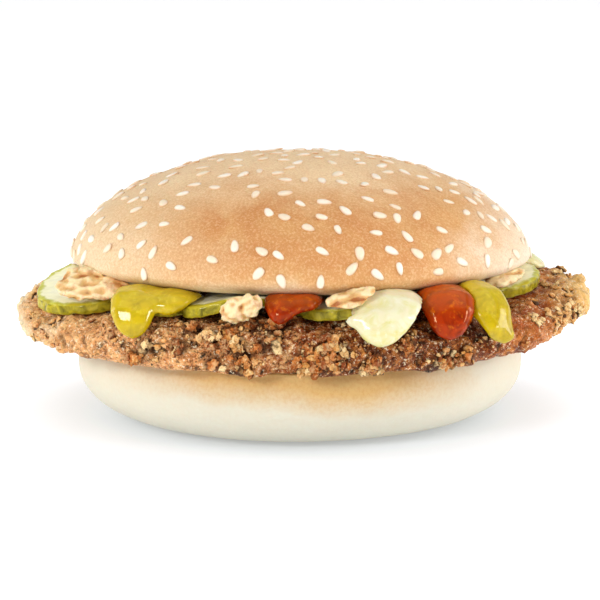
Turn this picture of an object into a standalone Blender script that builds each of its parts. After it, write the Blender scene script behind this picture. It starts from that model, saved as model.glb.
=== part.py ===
# Chicken burger: a sesame bun in two halves round a wide breaded chicken cutlet, with
# gherkin slices, drips of mustard, ketchup and mayonnaise, and pieces of crisp fried onion.
# Metres, +Z up. The origin is the middle of the flat underside of the lower bun.
# -Y is the front, where most of the filling shows, and the cutlet is longest along X.

import math
import random

import bmesh
import bpy
from mathutils import Matrix, Vector, noise
from mathutils.bvhtree import BVHTree

MM = 0.001
GAP = 0.3 * MM  # kept between pieces that touch
SHARP = math.radians(35)  # edges sharper than this are not smoothed over

# Lower bun: a flat foot, a round belly and a cut top
HEEL_RADIUS = 58.5 * MM
HEEL_HEIGHT = 20.5 * MM
HEEL_FOOT_RADIUS = 38.5 * MM
HEEL_BELLY_HEIGHT = 14 * MM
HEEL_TOP_INSET = 1.6 * MM
HEEL_SHOULDER = (0.3, 0.8)  # where the wall starts to lean in: share of the inset, share of the height
HEEL_STEPS = (0, 20, 38, 54, 70, 90)  # degrees up the round belly
HEEL_SEGMENTS = 40
HEEL_WAVES = ((2, 0.006, 0.4), (3, 0.004, 2.0), (5, 0.003, 4.1))  # lobes, size and phase of each

# Upper bun: a low dome over a thin rounded lip, tipped back so that its front lifts
CROWN_RADIUS = 60 * MM
CROWN_DOME = 27 * MM
CROWN_WIDEST_Z = 41.6 * MM
CROWN_LIP = 3.5 * MM
CROWN_LIP_SAG = 0.8 * MM  # the lip is this much deeper at the front and shallower at the back
CROWN_LIP_REACH = 12 * MM
CROWN_RECESS = 2.2 * MM  # the underside presses in over the fillings, inside the lip
CROWN_RECESS_RADIUS = 43 * MM
CROWN_TILT = math.radians(2)
CROWN_SEGMENTS = 40
CROWN_DOME_STEPS = (12, 25, 38, 51, 63, 74, 83, 89.99)  # degrees down the dome
CROWN_LIP_STEPS = (28, 58, 90)  # degrees round the lip
CROWN_UPPER_POWER = 1.75  # 2 would make the dome half an ellipse, less makes its rim sharper
CROWN_OUTER_POWER = 2.1
CROWN_WAVES = ((2, 0.004, 1.2), (3, 0.005, 0.3), (5, 0.003, 2.2))
CROWN_CLEARANCE_RISE = 3  # how steeply the room under the upper bun opens past its rim

# Sesame seeds: drops with one pointed end, a raised back and a sunk keel
SEED_COUNT = 130
SEED_DRAW = 11  # start of the random draw of their places
SEED_STEP = 0.01  # radians, over which the slope of the dome under a seed is read
SEED_LOWEST = math.radians(89)  # how far down the dome they reach
SEED_SPREAD = 0.85  # keeps them even over the dome from its top to its rim
SEED_SPACING = 4.8 * MM
SEED_LENGTH = 3.5 * MM
SEED_WIDTH = 2.2 * MM
SEED_RISE = 0.75 * MM
SEED_SINK = 0.2 * MM
SEED_OUTLINE = ((-1, 0), (-0.3, -0.72), (0.45, -1), (1, 0), (0.45, 1), (-0.3, 0.72))
SEED_RIDGE = ((-0.35, 0.8), (0.4, 1))  # place along the seed and share of the rise

# Cutlet: an uneven oval with a round rim
PATTY_LEFT = 74.4 * MM
PATTY_RIGHT = 74.8 * MM
PATTY_FRONT = 63 * MM
PATTY_BACK = 61 * MM
PATTY_MID_Z = 27 * MM
PATTY_HALF = 6.2 * MM
PATTY_UPPER_RIM = 10 * MM  # width of the rounding above the rim
PATTY_LOWER_RIM = 5 * MM
PATTY_CORNER_POWER = 2.15
PATTY_RIGHT_LIFT = 3.2 * MM
PATTY_LEFT_LIFT = 0.3 * MM
PATTY_LIFT_FROM = 42 * MM  # the ends start to lift here
PATTY_LIFT_OVER = 30 * MM
PATTY_LIFT_POWER = 1.5
PATTY_END_THINNING = 0.28
PATTY_END_POWER = 3  # more keeps the thinning nearer the ends
PATTY_FALL = 2  # how steeply the room over the cutlet opens past its rim
PATTY_WAVES = ((3, 0.012, 0.6), (5, 0.008, 1.9), (8, 0.006, 0.2))
PATTY_STEPS = (90, 66, 45, 26, 8, -12, -34, -60, -90)  # degrees from the top round the rim
PATTY_INNER = 0.55  # share of the rim's radius of the ring inside the flat faces
PATTY_DENTS = (
    dict(at=(-56 * MM, -30 * MM), size=14 * MM, depth=2.6 * MM),
    dict(at=(55 * MM, -18 * MM), size=14 * MM, depth=1.4 * MM),
)
PATTY_SEGMENTS = 84
CRAG_SIZE = 6 * MM
CRAG_HEIGHT = 2.4 * MM
CRAG_ROUGHNESS = 0.7
CRAG_LACUNARITY = 2.1
CRAG_OCTAVES = 2
CRAG_ON_TOP = 0.45  # share of the height that is left on the upper face
CRAG_FACE = 0.9  # below minus this the section counts as the lower face
CRAG_FACE_TOP = 0.95  # and above this as the upper one
CRUMB_COUNT = 36
CRUMB_DRAW = 5
CRUMB_SIZE = (1.5 * MM, 2.7 * MM)
CRUMB_UNEVEN = (0.7, 1.15)
CRUMB_FLATNESS = (0.5, 0.75, 1)
CRUMB_LIFT = (-50, 85)  # degrees round the rim where crumbs sit
CRUMB_CLEAR = 1.15  # shares of a crumb's size kept from other pieces and from other crumbs
CRUMB_SPACING = 1.3

SLICE_THICK = 3 * MM
SLICE_SEGMENTS = 18
SLICE_INNER = 0.5
SLICE_CLEAR = 0.3 * MM  # spare room over the gap where a slice follows the bun or the cutlet
SLICE_SOFT = 0.4 * MM  # rounding of the bend where a slice starts to follow them

# Gherkin slices: middle (x, y), half length, half width, turn, height and slopes of the middle plane
SLICES = {
    "pickle_left": dict(at=(-52.5, -18), half=(15.4, 15.4), turn=0, z=36.1, slope=(0.18, 0.27)),
    "pickle_front_left": dict(at=(-33, -37), half=(9, 14.5), turn=0, z=35.1, slope=(0, 0)),
    "pickle_middle": dict(at=(11.5, -45.5), half=(14.5, 13.8), turn=0, z=36.6, slope=(0.16, 0.05)),
    "pickle_right": dict(at=(47.2, -8), half=(15.4, 15.4), turn=0, z=36.4, slope=(0.02, 0.14)),
    "pickle_back_right": dict(at=(36, 34), half=(15, 14), turn=30, z=35.1, slope=(0.02, 0.03)),
    "pickle_back": dict(at=(-6, 43), half=(15.5, 14), turn=10, z=35.1, slope=(0.05, 0)),
    "pickle_back_left": dict(at=(-42, 32), half=(14, 15), turn=-20, z=35.1, slope=(-0.04, 0.04)),
    "pickle_front": dict(at=(-15, -45.5), half=(15.5, 10.5), turn=14, z=38.4, slope=(0.3, 0)),
}

# Sauces: each is one or more tongues that start under the upper bun, bend over the edge and hang
# down to a tip. The points are start, bend and tip, and the sizes half widths there and half thickness.
TONGUE_RINGS = 7
TONGUE_SIDES = 8
TONGUE_TAPER = 0.45  # less keeps a tongue wide nearly to its ends
TONGUE_END = 0.35  # the end caps stand out by this share of the thickness
TONGUE_OPENING = (0.6, 0.6)  # room left before the first and after the last ring, in ring steps
TONGUE_STEP = 0.02  # share of the length over which its direction is read
TONGUE_END_STEP = 0.05
TONGUE_UPRIGHT = 0.35  # below this a tongue counts as hanging straight down
SAUCES = {
    "mustard_left": [
        dict(path=((-38, -34, 36.8), (-42, -55, 42), (-41.2, -54.5, 29.6)), half=(7.5, 6.8, 5.4), thick=2.8),
        dict(path=((-29, -38, 36.8), (-33, -52, 40.5), (-33, -53.5, 35)), half=(7.5, 8, 5), thick=2.4),
    ],
    "ketchup_middle": [
        dict(path=((-3, -42, 37), (-4, -60, 41.5), (-5, -62, 34.4)), half=(6, 5.4, 3.8), thick=2.6),
        dict(path=((2, -44, 37), (0.5, -61, 40.5), (0, -61, 37)), half=(5, 5.4, 4), thick=2.2),
    ],
    "mayonnaise_front": [
        dict(path=((22, -42, 37.2), (21, -65, 42.2), (19.5, -64.5, 29.4)), half=(9, 10.4, 6.8), thick=3.2),
        dict(path=((20, -62, 35.2), (15, -63.5, 35), (11.2, -62.5, 34.6)), half=(3, 2.2, 0.7), thick=2),
    ],
    "ketchup_right": [
        dict(path=((33, -36, 37.2), (37.5, -56, 42.5), (36.8, -57, 29.6)), half=(7, 7.8, 6.2), thick=2.9),
    ],
    "mustard_right": [
        dict(path=((41, -32, 37.2), (45.5, -50.5, 42.5), (50.4, -51.5, 27.8)), half=(5.4, 6.4, 6.4), thick=3),
    ],
    "mustard_back": [
        dict(path=((12, 42, 35.6), (16, 60.5, 39), (16.5, 61.5, 28.6)), half=(7, 6.4, 4.8), thick=3),
    ],
    "ketchup_back": [
        dict(path=((-22, 38, 35.6), (-28, 55.5, 39), (-29, 58, 29.6)), half=(7, 6.4, 4.6), thick=3),
    ],
    "mayonnaise_back": [
        dict(path=((42, 14, 37), (60, 18, 40.5), (65.5, 19.5, 33)), half=(6, 7, 5), thick=2.8),
    ],
}

# Fried onion: middle, half sizes, turn about Z, slope of the length, roll, curl of the far end, how
# much narrower the far end is, and how ragged the outline
ONION_SEGMENTS = 9
ONION_SECTION = ((0.55, 1), (1, 0.35), (1, -0.35), (0.55, -1))  # shares of outline and half thickness
ONION_DOME = 1.1
ONION_NOTCHES = 1.7  # more gives the ragged outline more and smaller notches
ONION_SHIFT = 0.37  # keeps the outlines of any two pieces different
ONIONS = {
    "onion_left": dict(at=(-51, -31.9, 38.7), half=(11.8, 5.8, 1.6), turn=-28, pitch=-2, roll=38,
                       curl=0.3, taper=0.5, ragged=0.3),
    "onion_front": dict(at=(-14.6, -59.6, 37.3), half=(5.4, 2.6, 2.8), turn=4, pitch=16, roll=20,
                        curl=1, taper=-0.35, ragged=0.9),
    "onion_middle": dict(at=(11.4, -60.8, 39.8), half=(6.6, 3, 1.3), turn=0, pitch=6, roll=30,
                         curl=1.8, taper=-0.4, ragged=0.4),
    "onion_right": dict(at=(51.8, -24, 39), half=(6.6, 3.6, 1.2), turn=38, pitch=6, roll=14,
                        curl=0.4, taper=0, ragged=0.4),
    "onion_back": dict(at=(29, 55, 34.9), half=(6.5, 2.8, 1.5), turn=-24, pitch=4, roll=0,
                       curl=0.8, taper=0, ragged=0.4),
    "onion_back_left": dict(at=(-51, 40, 36.6), half=(6.5, 3.6, 1), turn=40, pitch=0, roll=0,
                            curl=1, taper=0, ragged=0.4),
}

# Colour and roughness of every material
CRUST_PALE = ((0.86, 0.74, 0.55), 0.75)
CRUST_BAKED = ((0.78, 0.5, 0.24), 0.6)
FRIED_CRUMB = ((0.42, 0.21, 0.09), 0.7)
GHERKIN = ((0.42, 0.42, 0.12), 0.3)
FRIED_ONION = ((0.72, 0.48, 0.2), 0.6)
SAUCE_LOOKS = {
    "mustard": ((0.72, 0.55, 0.05), 0.25),
    "ketchup": ((0.62, 0.12, 0.02), 0.22),
    "mayonnaise": ((0.9, 0.86, 0.66), 0.3),
}


def material(name, color, roughness):
    made = bpy.data.materials.new(name)
    made.use_nodes = True
    shader = made.node_tree.nodes["Principled BSDF"]
    shader.inputs["Base Color"].default_value = (*color, 1)
    shader.inputs["Roughness"].default_value = roughness
    shader.inputs["Metallic"].default_value = 0
    return made


def add_object(name, bm, look=None):
    bmesh.ops.recalc_face_normals(bm, faces=bm.faces)
    mesh = bpy.data.meshes.new(name)
    bm.to_mesh(mesh)
    bm.free()
    mesh.shade_smooth()
    mesh.set_sharp_from_angle(angle=SHARP)
    obj = bpy.data.objects.new(name, mesh)
    bpy.context.scene.collection.objects.link(obj)
    if look:
        mesh.materials.append(look)
    return obj


def skin_rings(rings, first_pole, last_pole):
    # A closed skin over rings of points, each end gathered to a pole
    bm = bmesh.new()
    loops = [[bm.verts.new(p) for p in ring] for ring in rings]
    count = len(loops[0])
    for near, far in zip(loops, loops[1:]):
        for i in range(count):
            j = (i + 1) % count
            bm.faces.new((near[i], near[j], far[j], far[i]))
    for loop, pole in ((loops[0], first_pole), (loops[-1], last_pole)):
        tip = bm.verts.new(pole)
        for i in range(count):
            bm.faces.new((loop[i], loop[(i + 1) % count], tip))
    bmesh.ops.triangulate(bm, faces=bm.faces)
    return bm


def turned(profile, segments):
    # Rings of a turned profile, each entry a radius and a height
    return [
        [
            Vector((radius * math.cos(a), radius * math.sin(a), height))
            for a in (2 * math.pi * i / segments for i in range(segments))
        ]
        for radius, height in profile
    ]


def smooth_low(a, b):
    return (a + b - math.hypot(a - b, SLICE_SOFT)) / 2


def smooth_high(a, b):
    return (a + b + math.hypot(a - b, SLICE_SOFT)) / 2


def wave(angle, terms):
    # Sum of sines round the burger, each term a count of lobes, a size and a phase
    return sum(size * math.sin(lobes * angle + phase) for lobes, size, phase in terms)


# Lower bun


def heel_bulge(angle):
    return 1 + wave(angle, HEEL_WAVES)


def make_heel(look):
    belly = [
        (
            HEEL_FOOT_RADIUS + (HEEL_RADIUS - HEEL_FOOT_RADIUS) * math.sin(a),
            HEEL_BELLY_HEIGHT * (1 - math.cos(a)),
        )
        for a in (math.radians(d) for d in HEEL_STEPS)
    ]
    inset, height = HEEL_SHOULDER
    wall = [
        (HEEL_RADIUS - inset * HEEL_TOP_INSET, height * HEEL_HEIGHT),
        (HEEL_RADIUS - HEEL_TOP_INSET, HEEL_HEIGHT),
    ]
    rings = turned(belly + wall, HEEL_SEGMENTS)
    for ring in rings[1:]:
        for p in ring:
            bulge = heel_bulge(math.atan2(p.y, p.x))
            p.x *= bulge
            p.y *= bulge
    return add_object(
        "bun_heel", skin_rings(rings, Vector((0, 0, 0)), Vector((0, 0, HEEL_HEIGHT))), look
    )


# Upper bun


def crown_turn():
    return (
        Matrix.Translation((0, 0, CROWN_WIDEST_Z))
        @ Matrix.Rotation(-CROWN_TILT, 4, "X")
    )


def crown_swell(angle, polar):
    # The dome is a little uneven all round, most near its shoulder
    return 1 + math.sin(polar) * wave(angle, CROWN_WAVES)


def crown_dome(angle, polar, grow=0.0):
    # A point of the dome, from its top at polar 0 to its widest ring at a right angle
    swell = crown_swell(angle, polar)
    radius = (CROWN_RADIUS * swell + grow) * math.sin(polar) ** (2 / CROWN_OUTER_POWER)
    height = (CROWN_DOME * swell + grow) * math.cos(polar) ** (2 / CROWN_UPPER_POWER)
    return Vector((radius * math.cos(angle), radius * math.sin(angle), height))


def crown_core(segments, grow=0.0):
    dome = [
        [crown_dome(2 * math.pi * i / segments, math.radians(p), grow) for i in range(segments)]
        for p in CROWN_DOME_STEPS
    ]
    lip = []
    for degrees in CROWN_LIP_STEPS:
        a = math.radians(degrees)
        share = 1 - CROWN_LIP_REACH * (1 - math.cos(a)) / CROWN_RADIUS
        lip.append([])
        for p in dome[-1]:
            drop = (crown_lip(p.x, p.y) + grow) * math.sin(a)
            lip[-1].append(Vector((p.x * share, p.y * share, -drop)))
    inner = []
    for p in dome[-1]:
        share = CROWN_RECESS_RADIUS / CROWN_RADIUS
        inner.append(Vector((p.x * share, p.y * share, CROWN_RECESS - crown_lip(p.x, p.y) - grow)))
    top = crown_dome(0, 0, grow)
    bottom = Vector((0, 0, CROWN_RECESS - CROWN_LIP - grow))
    turn = crown_turn()
    rings = [[turn @ p for p in ring] for ring in dome + lip + [inner]]
    return skin_rings(rings, turn @ top, turn @ bottom)


def crown_lip(x, y):
    # Depth of the lip below the widest ring
    return CROWN_LIP - CROWN_LIP_SAG * y / CROWN_RADIUS


def crown_ceiling(x, y):
    # Height of the upper bun's underside over a point, rising past its rim out of the way
    radius = math.hypot(x, y)
    flat = CROWN_RADIUS - CROWN_LIP_REACH
    share = min(1, max(0, (radius - flat) / CROWN_LIP_REACH))
    drop = crown_lip(x, y) * math.sqrt(1 - share * share)
    inside = min(1, max(0, (flat - radius) / (flat - CROWN_RECESS_RADIUS)))
    past = CROWN_CLEARANCE_RISE * max(0, radius - CROWN_RADIUS)
    return CROWN_WIDEST_Z - drop + CROWN_RECESS * inside - y * math.tan(CROWN_TILT) + past


def make_seed(name, place):
    half_l, half_w = SEED_LENGTH / 2, SEED_WIDTH / 2
    bm = bmesh.new()
    rim = [bm.verts.new((x * half_l, y * half_w, -SEED_SINK)) for x, y in SEED_OUTLINE]
    back, front = (bm.verts.new((x * half_l, 0, SEED_RISE * rise)) for x, rise in SEED_RIDGE)
    keel = bm.verts.new((0, 0, -SEED_SINK - SEED_RISE))
    tops = (back, front, front, front, front, back)
    for i, top in enumerate(tops):
        bm.faces.new((rim[i], rim[(i + 1) % len(rim)], top))
    bm.faces.new((rim[1], front, back))
    bm.faces.new((rim[5], back, front))
    for i in range(len(rim)):
        bm.faces.new((rim[(i + 1) % len(rim)], rim[i], keel))
    bmesh.ops.transform(bm, matrix=place, verts=bm.verts)
    return add_object(name, bm)


def seed_places():
    # Seeds fall evenly over the dome, down to its rim, and none are closer than their spacing
    draw = random.Random(SEED_DRAW)
    found = []
    while len(found) < SEED_COUNT:
        polar = SEED_LOWEST * draw.uniform(0, 1) ** SEED_SPREAD
        angle = draw.uniform(0, 2 * math.pi)
        spin = draw.uniform(0, 2 * math.pi)
        point = crown_dome(angle, polar)
        if all((point - other[0]).length > SEED_SPACING for other in found):
            east = crown_dome(angle + SEED_STEP, polar) - crown_dome(angle - SEED_STEP, polar)
            above = max(0, polar - SEED_STEP)
            south = crown_dome(angle, polar + SEED_STEP) - crown_dome(angle, above)
            normal = south.cross(east).normalized()
            found.append((point, normal, spin))
    turn = crown_turn()
    return [
        turn
        @ Matrix.Translation(point)
        @ normal.to_track_quat("Z", "Y").to_matrix().to_4x4()
        @ Matrix.Rotation(spin, 4, "Z")
        for point, normal, spin in found
    ]


def fuse(obj, name, others):
    # One Boolean union joins the small pieces to the object that carries them
    group = bpy.data.collections.new(name)
    bpy.context.scene.collection.children.link(group)
    for other in others:
        bpy.context.scene.collection.objects.unlink(other)
        group.objects.link(other)
    union = obj.modifiers.new(name, "BOOLEAN")
    union.operation = "UNION"
    union.solver = "EXACT"
    union.operand_type = "COLLECTION"
    union.collection = group
    apply_modifiers(obj)
    for other in others:
        bpy.data.objects.remove(other)
    bpy.data.collections.remove(group)


def apply_modifiers(obj):
    graph = bpy.context.evaluated_depsgraph_get()
    mesh = bpy.data.meshes.new_from_object(obj.evaluated_get(graph))
    obj.modifiers.clear()
    mesh.set_sharp_from_angle(angle=SHARP)
    obj.data = mesh


def add_seeds(crown):
    seeds = [make_seed(f"seed_{i}", place) for i, place in enumerate(seed_places())]
    fuse(crown, "seeds", seeds)


# Cutlet


def patty_rim(angle):
    # Distance of the cutlet's rim from the middle, in one direction
    along, across = math.cos(angle), math.sin(angle)
    length = PATTY_RIGHT if along > 0 else PATTY_LEFT
    width = PATTY_BACK if across > 0 else PATTY_FRONT
    power = PATTY_CORNER_POWER
    oval = (abs(along / length) ** power + abs(across / width) ** power) ** (-1 / power)
    return oval * (1 + wave(angle, PATTY_WAVES))


def patty_mid(x):
    # The two ends of the cutlet lift off the bun, the right one more
    right = max(0, (x - PATTY_LIFT_FROM) / PATTY_LIFT_OVER) ** PATTY_LIFT_POWER
    left = max(0, (-x - PATTY_LIFT_FROM) / PATTY_LIFT_OVER) ** PATTY_LIFT_POWER
    return PATTY_MID_Z + PATTY_RIGHT_LIFT * right + PATTY_LEFT_LIFT * left


def patty_half(x, y, side):
    # Half thickness, less at both ends and where the two outer gherkin slices have pressed dents
    half = PATTY_HALF * (1 - PATTY_END_THINNING * (abs(x) / PATTY_RIGHT) ** PATTY_END_POWER)
    if side > 0:
        for dent in PATTY_DENTS:
            away = math.hypot(x - dent["at"][0], y - dent["at"][1]) / dent["size"]
            half -= dent["depth"] * math.exp(-away * away)
    return half


def patty_section():
    # Steps from the top, round the rim to the underside: the share of the rounding's width left
    # inside the rim, and the height, from 1 at the top to -1 below
    return [(1 - math.cos(a), math.sin(a)) for a in (math.radians(d) for d in PATTY_STEPS)]


def patty_crag(p, side):
    # Height of the crumb coat's crags, which are flat where the cutlet lies on the lower bun
    if side < -CRAG_FACE:
        return 0
    rough = noise.fractal(p / CRAG_SIZE, CRAG_ROUGHNESS, CRAG_LACUNARITY, CRAG_OCTAVES)
    return CRAG_HEIGHT * rough * (CRAG_ON_TOP if side > CRAG_FACE_TOP else 1)


def patty_core(segments, grow=0.0):
    rings = []
    for inward, side in patty_section():
        width = PATTY_UPPER_RIM if side > 0 else PATTY_LOWER_RIM
        ring = []
        for i in range(segments):
            a = 2 * math.pi * i / segments
            outward = Vector((math.cos(a), math.sin(a), 0))
            p = outward * (patty_rim(a) - inward * width)
            p.z = patty_mid(p.x) + side * patty_half(p.x, p.y, side)
            steep = math.sqrt(1 - side * side)
            normal = outward * steep + Vector((0, 0, side))
            ring.append(p + normal * (patty_crag(p, side) + grow))
        rings.append(ring)
    inner = []
    for side in (1, -1):
        ring = []
        for i in range(segments):
            a = 2 * math.pi * i / segments
            p = Vector((math.cos(a), math.sin(a), 0)) * (PATTY_INNER * patty_rim(a))
            p.z = patty_mid(p.x) + side * (patty_half(p.x, p.y, side) + grow)
            ring.append(p)
        inner.append(ring)
    top = Vector((0, 0, PATTY_MID_Z + PATTY_HALF + grow))
    bottom = Vector((0, 0, PATTY_MID_Z - PATTY_HALF - grow))
    return skin_rings([inner[0]] + rings + [inner[1]], top, bottom)


def patty_top(x, y):
    # Height of the cutlet's upper face over a point, falling away past its rim
    radius = math.hypot(x, y)
    rim = patty_rim(math.atan2(y, x))
    share = min(1, max(0, (radius - rim + PATTY_UPPER_RIM) / PATTY_UPPER_RIM))
    fall = PATTY_FALL * max(0, radius - rim)
    return patty_mid(x) + patty_half(x, y, 1) * math.sqrt(1 - share * share) - fall


def make_crumb(name, at, size, draw):
    # A broken crumb: an uneven many-sided lump, some flat as a flake
    bm = bmesh.new()
    bmesh.ops.create_icosphere(bm, subdivisions=1, radius=size)
    flat = draw.choice(CRUMB_FLATNESS)
    for vert in bm.verts:
        vert.co *= draw.uniform(*CRUMB_UNEVEN)
        vert.co.z *= flat
    spin = Matrix.Rotation(draw.uniform(0, 3), 4, Vector((draw.random(), draw.random(), 1)))
    bmesh.ops.transform(bm, matrix=Matrix.Translation(at) @ spin, verts=bm.verts)
    return add_object(name, bm)


def crumb_places(others):
    # Crumbs sit on the rim and the outer top of the cutlet, clear of everything round it
    draw = random.Random(CRUMB_DRAW)
    graph = bpy.context.evaluated_depsgraph_get()
    trees = [BVHTree.FromObject(obj, graph) for obj in others]
    found = []
    while len(found) < CRUMB_COUNT:
        angle = draw.uniform(0, 2 * math.pi)
        lift = math.radians(draw.uniform(*CRUMB_LIFT))
        size = draw.uniform(*CRUMB_SIZE)
        width = PATTY_UPPER_RIM if lift > 0 else PATTY_LOWER_RIM
        radius = patty_rim(angle) - width * (1 - math.cos(lift))
        x, y = radius * math.cos(angle), radius * math.sin(angle)
        at = Vector((x, y, patty_mid(x) + patty_half(x, y, lift) * math.sin(lift)))
        clear = all(tree.find_nearest(at)[3] > CRUMB_CLEAR * size + GAP for tree in trees)
        apart = all((at - other).length > CRUMB_SPACING * (size + large) for other, large in found)
        if clear and apart:
            found.append((at, size))
    return found, draw


def make_patty(look, others):
    patty = add_object("chicken_patty", patty_core(PATTY_SEGMENTS), look)
    places, draw = crumb_places(others)
    crumbs = [make_crumb(f"crumb_{i}", at, size, draw) for i, (at, size) in enumerate(places)]
    fuse(patty, "crumbs", crumbs)
    return patty


# Gherkin slices


def slice_plane(x, y, spec, thick):
    # A slice lies on its own plane, but bends where the cutlet or the upper bun presses on it
    (cx, cy), (sx, sy) = spec["at"], spec["slope"]
    plane = spec["z"] * MM + sx * (x - cx * MM) + sy * (y - cy * MM)
    floor = patty_top(x, y) + thick / 2 + GAP + SLICE_CLEAR
    ceiling = crown_ceiling(x, y) - thick / 2 - GAP - SLICE_CLEAR
    return smooth_low(smooth_high(plane, floor), ceiling)


def make_slice(name, spec, look=None, grow=0.0):
    (cx, cy), (half_l, half_w) = spec["at"], spec["half"]
    turn = math.radians(spec["turn"])
    thick = SLICE_THICK / 2 + grow
    rings = []
    for share, side in ((SLICE_INNER, 1), (1, 1), (1, -1), (SLICE_INNER, -1)):
        ring = []
        for i in range(SLICE_SEGMENTS):
            a = 2 * math.pi * i / SLICE_SEGMENTS
            u = (half_l * MM + grow) * share * math.cos(a)
            v = (half_w * MM + grow) * share * math.sin(a)
            x = cx * MM + u * math.cos(turn) - v * math.sin(turn)
            y = cy * MM + u * math.sin(turn) + v * math.cos(turn)
            ring.append(Vector((x, y, slice_plane(x, y, spec, SLICE_THICK) + side * thick)))
        rings.append(ring)
    x, y = cx * MM, cy * MM
    z = slice_plane(x, y, spec, SLICE_THICK)
    return add_object(name, skin_rings(rings, Vector((x, y, z + thick)), Vector((x, y, z - thick))), look)


# Sauces


def bend_point(points, t):
    start, over, tip = (Vector(p) * MM for p in points)
    return start * (1 - t) ** 2 + over * 2 * t * (1 - t) + tip * t * t


def bend_value(values, t):
    a, b, c = values
    return (a * (1 - t) ** 2 + b * 2 * t * (1 - t) + c * t * t) * MM


def tongue_sides(spec, t):
    # Directions across a tongue and out of its upper face, at a share of its length
    before = bend_point(spec["path"], max(0, t - TONGUE_STEP))
    after = bend_point(spec["path"], min(1, t + TONGUE_STEP))
    forward = (after - before).normalized()
    across = forward.cross(Vector((0, 0, 1)))
    if across.length < TONGUE_UPRIGHT:
        # where it hangs straight down, across is as it was at the start
        start, over, _ = (Vector(p) for p in spec["path"])
        across = (over - start).cross(Vector((0, 0, 1)))
    across.normalize()
    return across, across.cross(forward).normalized()


def tongue_rings(spec, grow=0.0):
    # Rings along a tongue: flat ovals, as wide as it is there, that close at both ends
    rings = []
    first, last = TONGUE_OPENING
    for i in range(TONGUE_RINGS):
        a = math.pi * (i + first) / (TONGUE_RINGS - 1 + first + last)
        t = (1 - math.cos(a)) / 2
        middle = bend_point(spec["path"], t)
        across, outward = tongue_sides(spec, t)
        taper = math.sin(a) ** TONGUE_TAPER
        wide = bend_value(spec["half"], t) * taper + grow
        deep = spec["thick"] * MM * taper + grow
        turns = [2 * math.pi * k / TONGUE_SIDES for k in range(TONGUE_SIDES)]
        ring = [middle + across * (wide * math.cos(b)) + outward * (deep * math.sin(b)) for b in turns]
        rings.append(ring)
    return rings


def make_tongue(name, spec, look=None, grow=0.0):
    rings = tongue_rings(spec, grow)
    first = bend_point(spec["path"], 0)
    last = bend_point(spec["path"], 1)
    reach = TONGUE_END * spec["thick"] * MM + grow
    back = (first - bend_point(spec["path"], TONGUE_END_STEP)).normalized()
    down = (last - bend_point(spec["path"], 1 - TONGUE_END_STEP)).normalized()
    return add_object(name, skin_rings(rings, first + back * reach, last + down * reach), look)


def cut_away(obj, cutters):
    # Takes the grown neighbours out of a piece, so that it fits round them with a small gap
    for cutter in cutters:
        cut = obj.modifiers.new(cutter.name, "BOOLEAN")
        cut.operation = "DIFFERENCE"
        cut.object = cutter
    apply_modifiers(obj)


def drop_scraps(obj):
    # Keeps the largest body of a piece that a cut has parted
    bm = bmesh.new()
    bm.from_mesh(obj.data)
    left = set(bm.verts)
    bodies = []
    while left:
        body = {left.pop()}
        edge_of_body = list(body)
        while edge_of_body:
            vert = edge_of_body.pop()
            for edge in vert.link_edges:
                other = edge.other_vert(vert)
                if other in left:
                    left.discard(other)
                    body.add(other)
                    edge_of_body.append(other)
        bodies.append(body)
    bodies.sort(key=len)
    for body in bodies[:-1]:
        bmesh.ops.delete(bm, geom=list(body), context="VERTS")
    bm.to_mesh(obj.data)
    bm.free()


def make_sauce(name, tongues, look, cutters):
    sauce = make_tongue(name, tongues[0], look)
    if len(tongues) > 1:
        fuse(sauce, name + "_more", [make_tongue(f"{name}_{i}", spec) for i, spec in enumerate(tongues[1:])])
    cut_away(sauce, cutters)
    drop_scraps(sauce)
    return sauce


# Fried onion


def make_onion(name, spec, look, cutters, grow=0.0):
    # A ragged flake, thickest in the middle, with one end that may curl up or be narrower
    half_l, half_w, half_t = (value * MM + grow for value in spec["half"])
    offset = Vector(spec["at"]) * ONION_SHIFT
    rings = []
    for share, side in ONION_SECTION:
        ring = []
        for i in range(ONION_SEGMENTS):
            a = 2 * math.pi * i / ONION_SEGMENTS
            where = Vector((math.cos(a), math.sin(a), 0)) * ONION_NOTCHES + offset
            reach = share * (1 + spec["ragged"] * noise.noise(where))
            u = reach * math.cos(a)
            v = reach * math.sin(a) * (1 - spec["taper"] * math.cos(a))
            lift = spec["curl"] * MM * max(0, u) ** 2
            ring.append(Vector((u * half_l, v * half_w, side * half_t + lift)))
        rings.append(ring)
    peak = Vector((0, 0, ONION_DOME * half_t))
    bm = skin_rings(rings, peak, -peak)
    place = (
        Matrix.Translation(Vector(spec["at"]) * MM)
        @ Matrix.Rotation(math.radians(spec["turn"]), 4, "Z")
        @ Matrix.Rotation(math.radians(-spec["pitch"]), 4, "Y")
        @ Matrix.Rotation(math.radians(spec["roll"]), 4, "X")
    )
    bmesh.ops.transform(bm, matrix=place, verts=bm.verts)
    onion = add_object(name, bm, look)
    if cutters:
        cut_away(onion, cutters)
        drop_scraps(onion)
    return onion


def clear_scene():
    for obj in list(bpy.data.objects):
        bpy.data.objects.remove(obj)


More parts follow.
